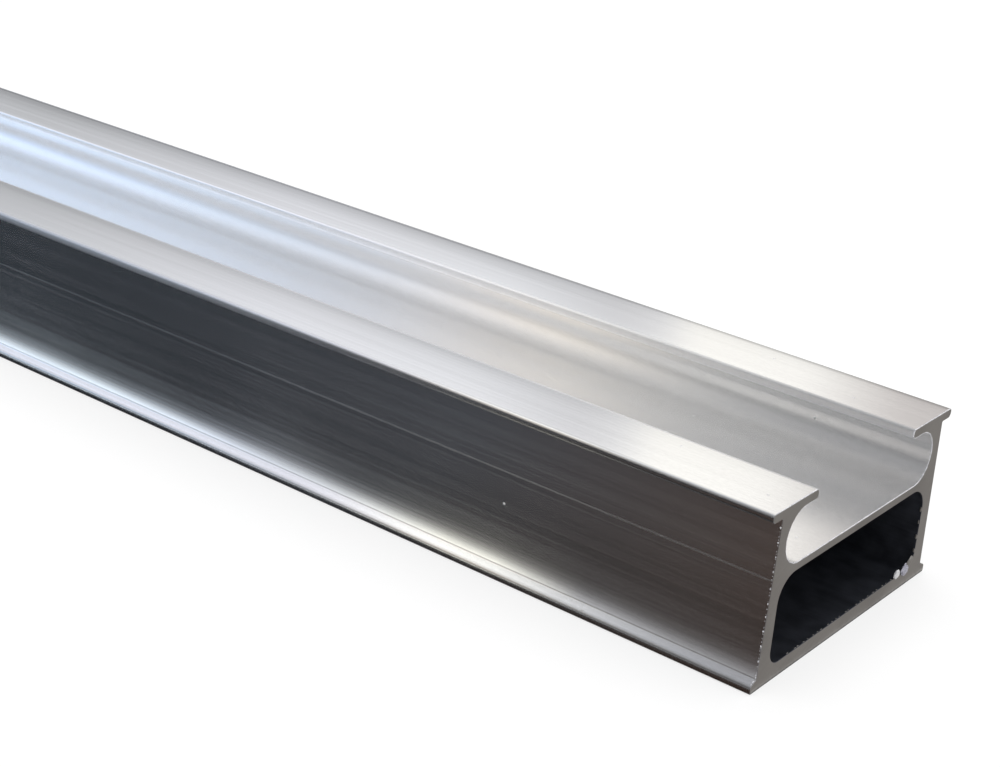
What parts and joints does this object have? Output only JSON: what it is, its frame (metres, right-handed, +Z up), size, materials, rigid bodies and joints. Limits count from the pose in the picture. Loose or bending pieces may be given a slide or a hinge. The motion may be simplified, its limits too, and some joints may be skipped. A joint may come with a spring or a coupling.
{
  "type": "aluminium extrusion profile",
  "caption": "Bar of aluminium channel profile with a closed chamber below, a wide T-shaped slot on top between two lips, and small feet.",
  "frame": {"origin": "middle of the flat underside, half way along the bar", "axes": "+X along the bar towards the sawn end that the picture shows, +Y across it away from the wall that the picture shows, +Z up out of the slot"},
  "size_m": [1, 0.065, 0.035],
  "materials": {
    "mill_aluminium": "mill finish with fine lengthwise die lines, saw-cut ends"
  },
  "bodies": {
    "root": {"channel_profile": "mill_aluminium"}
  },
  "joints": []
}
